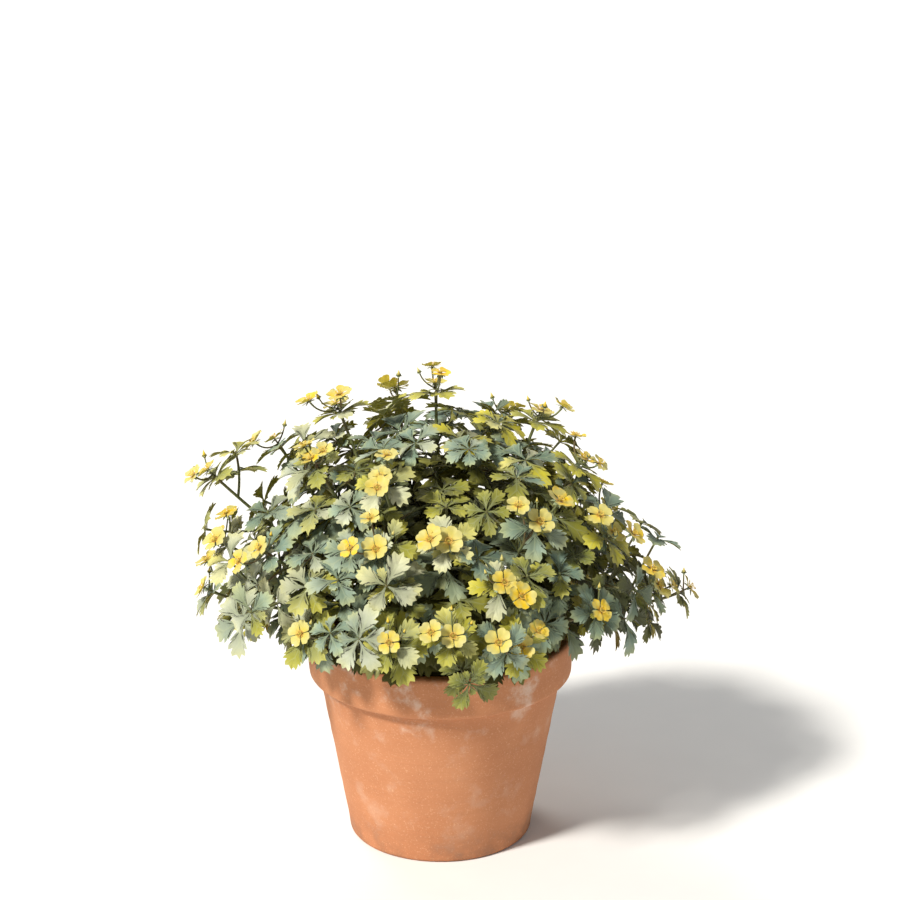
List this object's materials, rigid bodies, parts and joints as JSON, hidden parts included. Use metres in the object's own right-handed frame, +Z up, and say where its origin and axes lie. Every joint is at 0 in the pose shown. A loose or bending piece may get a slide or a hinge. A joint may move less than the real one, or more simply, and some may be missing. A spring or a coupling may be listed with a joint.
{
  "type": "potted tormentil",
  "caption": "Low spreading mound of toothed green leaves with small four-petalled yellow flowers, growing in a plain clay pot.",
  "frame": {"origin": "middle of the pot's flat foot, on the surface that it stands on", "axes": "+Z up through the pot, -Y towards the plant's front, +X along the mound's longest way"},
  "size_m": [0.2488, 0.2081, 0.2362],
  "materials": {
    "clay": "unglazed terracotta, matt, with faint turning rings and pale mineral bloom",
    "soil": "moist dark potting compost, matt and crumbly",
    "leaf": "soft grey-green leaf with paler veins and a fine silky down, yellow-green below",
    "petal": "satin bright yellow petal, paler at its edge, orange at its foot"
  },
  "bodies": {
    "root": {"clay_pot": "clay", "potting_soil": "soil", "leafy_stem_01": "leaf", "flower_spray_01": "petal", "leafy_stem_02": "leaf", "flower_spray_02": "petal", "leafy_stem_03": "leaf", "flower_spray_03": "petal", "leafy_stem_04": "leaf", "flower_spray_04": "petal", "leafy_stem_05": "leaf", "flower_spray_05": "petal", "leafy_stem_06": "leaf", "flower_spray_06": "petal", "leafy_stem_07": "leaf", "flower_spray_07": "petal", "leafy_stem_08": "leaf", "flower_spray_08": "petal", "leafy_stem_09": "leaf", "flower_spray_09": "petal", "leafy_stem_10": "leaf", "flower_spray_10": "petal", "leafy_stem_11": "leaf", "flower_spray_11": "petal", "leafy_stem_12": "leaf", "flower_spray_12": "petal", "leafy_stem_13": "leaf", "flower_spray_13": "petal", "leafy_stem_14": "leaf", "flower_spray_14": "petal", "leafy_stem_15": "leaf", "flower_spray_15": "petal", "leafy_stem_16": "leaf", "flower_spray_16": "petal", "leafy_stem_17": "leaf", "flower_spray_17": "petal", "leafy_stem_18": "leaf", "flower_spray_18": "petal", "leafy_stem_19": "leaf", "flower_spray_19": "petal", "leafy_stem_20": "leaf", "flower_spray_20": "petal", "leafy_stem_21": "leaf", "flower_spray_21": "petal", "leafy_stem_22": "leaf", "flower_spray_22": "petal", "leafy_stem_23": "leaf", "flower_spray_23": "petal", "leafy_stem_24": "leaf", "flower_spray_24": "petal", "leafy_stem_25": "leaf", "flower_spray_25": "petal", "leafy_stem_26": "leaf", "flower_spray_26": "petal", "leafy_stem_27": "leaf", "flower_spray_27": "petal", "leafy_stem_28": "leaf", "flower_spray_28": "petal"}
  },
  "joints": []
}
